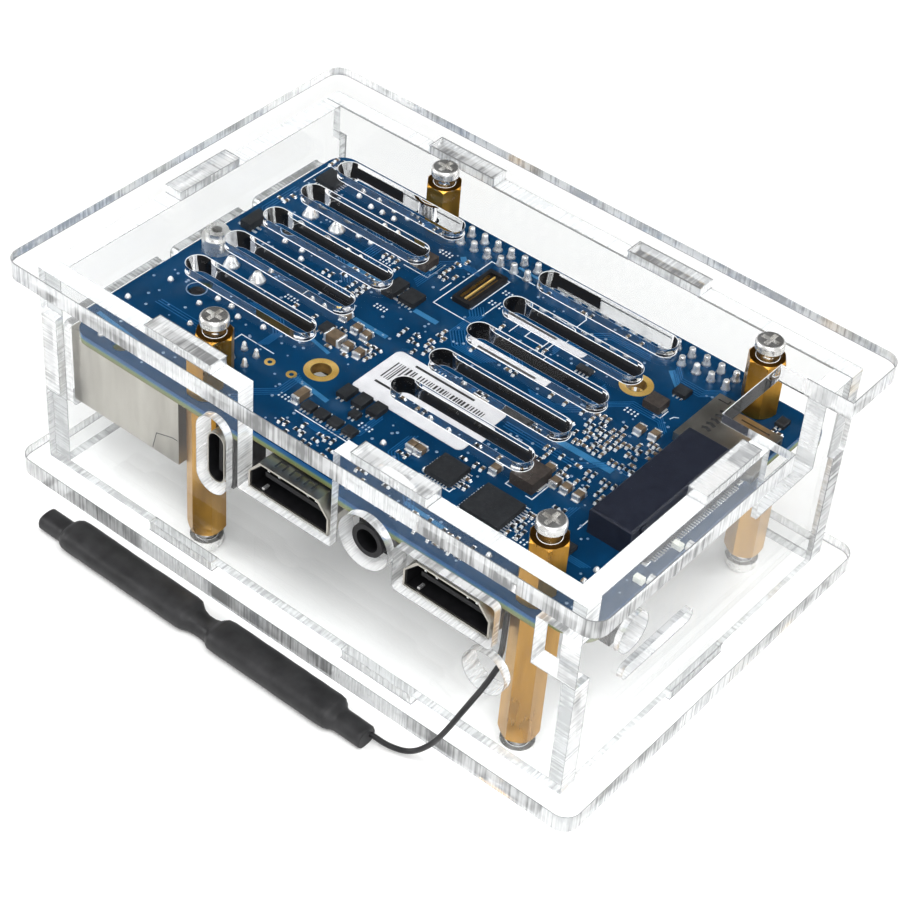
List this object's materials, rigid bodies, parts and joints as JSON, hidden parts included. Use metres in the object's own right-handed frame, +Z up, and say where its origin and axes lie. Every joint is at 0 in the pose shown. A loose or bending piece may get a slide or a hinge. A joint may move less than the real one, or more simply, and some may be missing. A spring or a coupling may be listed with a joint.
{
  "type": "single board computer",
  "caption": "Single board computer in a clear screw-together case on brass standoffs, with a wired antenna.",
  "frame": {"origin": "middle of the case on the surface that it stands on", "axes": "+X along the long side towards the memory card and button end, -Y the side with the display, audio and power sockets, +Z up"},
  "size_m": [0.104, 0.0774, 0.0428],
  "materials": {
    "clear_acrylic": "polished cast acrylic, clear, with laser-cut edges",
    "brass": "turned brass, bright",
    "plated_steel": "nickel-plated steel, polished",
    "circuit_laminate": "blue solder mask over woven laminate, semi-gloss",
    "black_plastic": "moulded plastic, fine matt",
    "blue_plastic": "moulded plastic, fine matt",
    "tinned_metal": "tin-plated sheet, satin",
    "ferrite": "pressed metal powder, matt",
    "chip_resin": "moulding resin, fine matt",
    "ceramic": "fired ceramic with tinned ends",
    "paper_label": "coated paper, printed in black",
    "gold_plate": "gold-plated, bright",
    "light_lens": "moulded clear resin",
    "lead_jacket": "extruded jacket, smooth",
    "shrink_sleeve": "heat-shrunk sleeve, satin"
  },
  "bodies": {
    "case_and_board": {"bottom_plate": "clear_acrylic", "top_plate": "clear_acrylic", "front_wall": "clear_acrylic", "back_wall": "clear_acrylic", "left_wall": "clear_acrylic", "right_wall": "clear_acrylic", "lower_standoffs": "brass", "upper_standoffs": "brass", "top_screws": "plated_steel", "bottom_screws": "plated_steel", "circuit_board": "circuit_laminate", "drive_connector": "black_plastic", "drive_standoff": "tinned_metal", "card_socket": "tinned_metal", "module_connector": "black_plastic", "power_inductors": "ferrite", "controller_chips": "chip_resin", "switching_transistors": "chip_resin", "ceramic_capacitors": "ceramic", "product_label": "paper_label", "processor": "chip_resin", "memory_chips": "chip_resin", "wireless_module": "tinned_metal", "power_manager": "chip_resin", "power_socket_shell": "tinned_metal", "power_socket_tongue": "black_plastic", "power_socket_bracket": "black_plastic", "display_socket_1_shell": "tinned_metal", "display_socket_1_tongue": "black_plastic", "display_socket_2_shell": "tinned_metal", "display_socket_2_tongue": "black_plastic", "audio_socket": "black_plastic", "network_socket_shell": "tinned_metal", "network_socket_insert": "black_plastic", "usb_stack_1_shell": "tinned_metal", "usb_stack_1_tongues": "blue_plastic", "usb_stack_2_shell": "tinned_metal", "usb_stack_2_tongues": "blue_plastic", "header_base": "black_plastic", "header_pins": "gold_plate", "status_lights": "light_lens", "button_body": "black_plastic", "button_dome": "tinned_metal", "antenna_socket": "gold_plate", "antenna_plug": "gold_plate", "antenna_lead": "lead_jacket", "antenna_sleeve": "shrink_sleeve", "antenna_radiator": "circuit_laminate"},
    "power_button": {"button_plunger": "black_plastic"}
  },
  "joints": [
    {"name": "power_button_press", "type": "slide", "parent": "case_and_board", "child": "power_button", "axis": [-1, 0, 0], "range_m": [0, 0.00025], "stiffness_N_per_m": 4000, "springref_m": -0.0001}
  ]
}
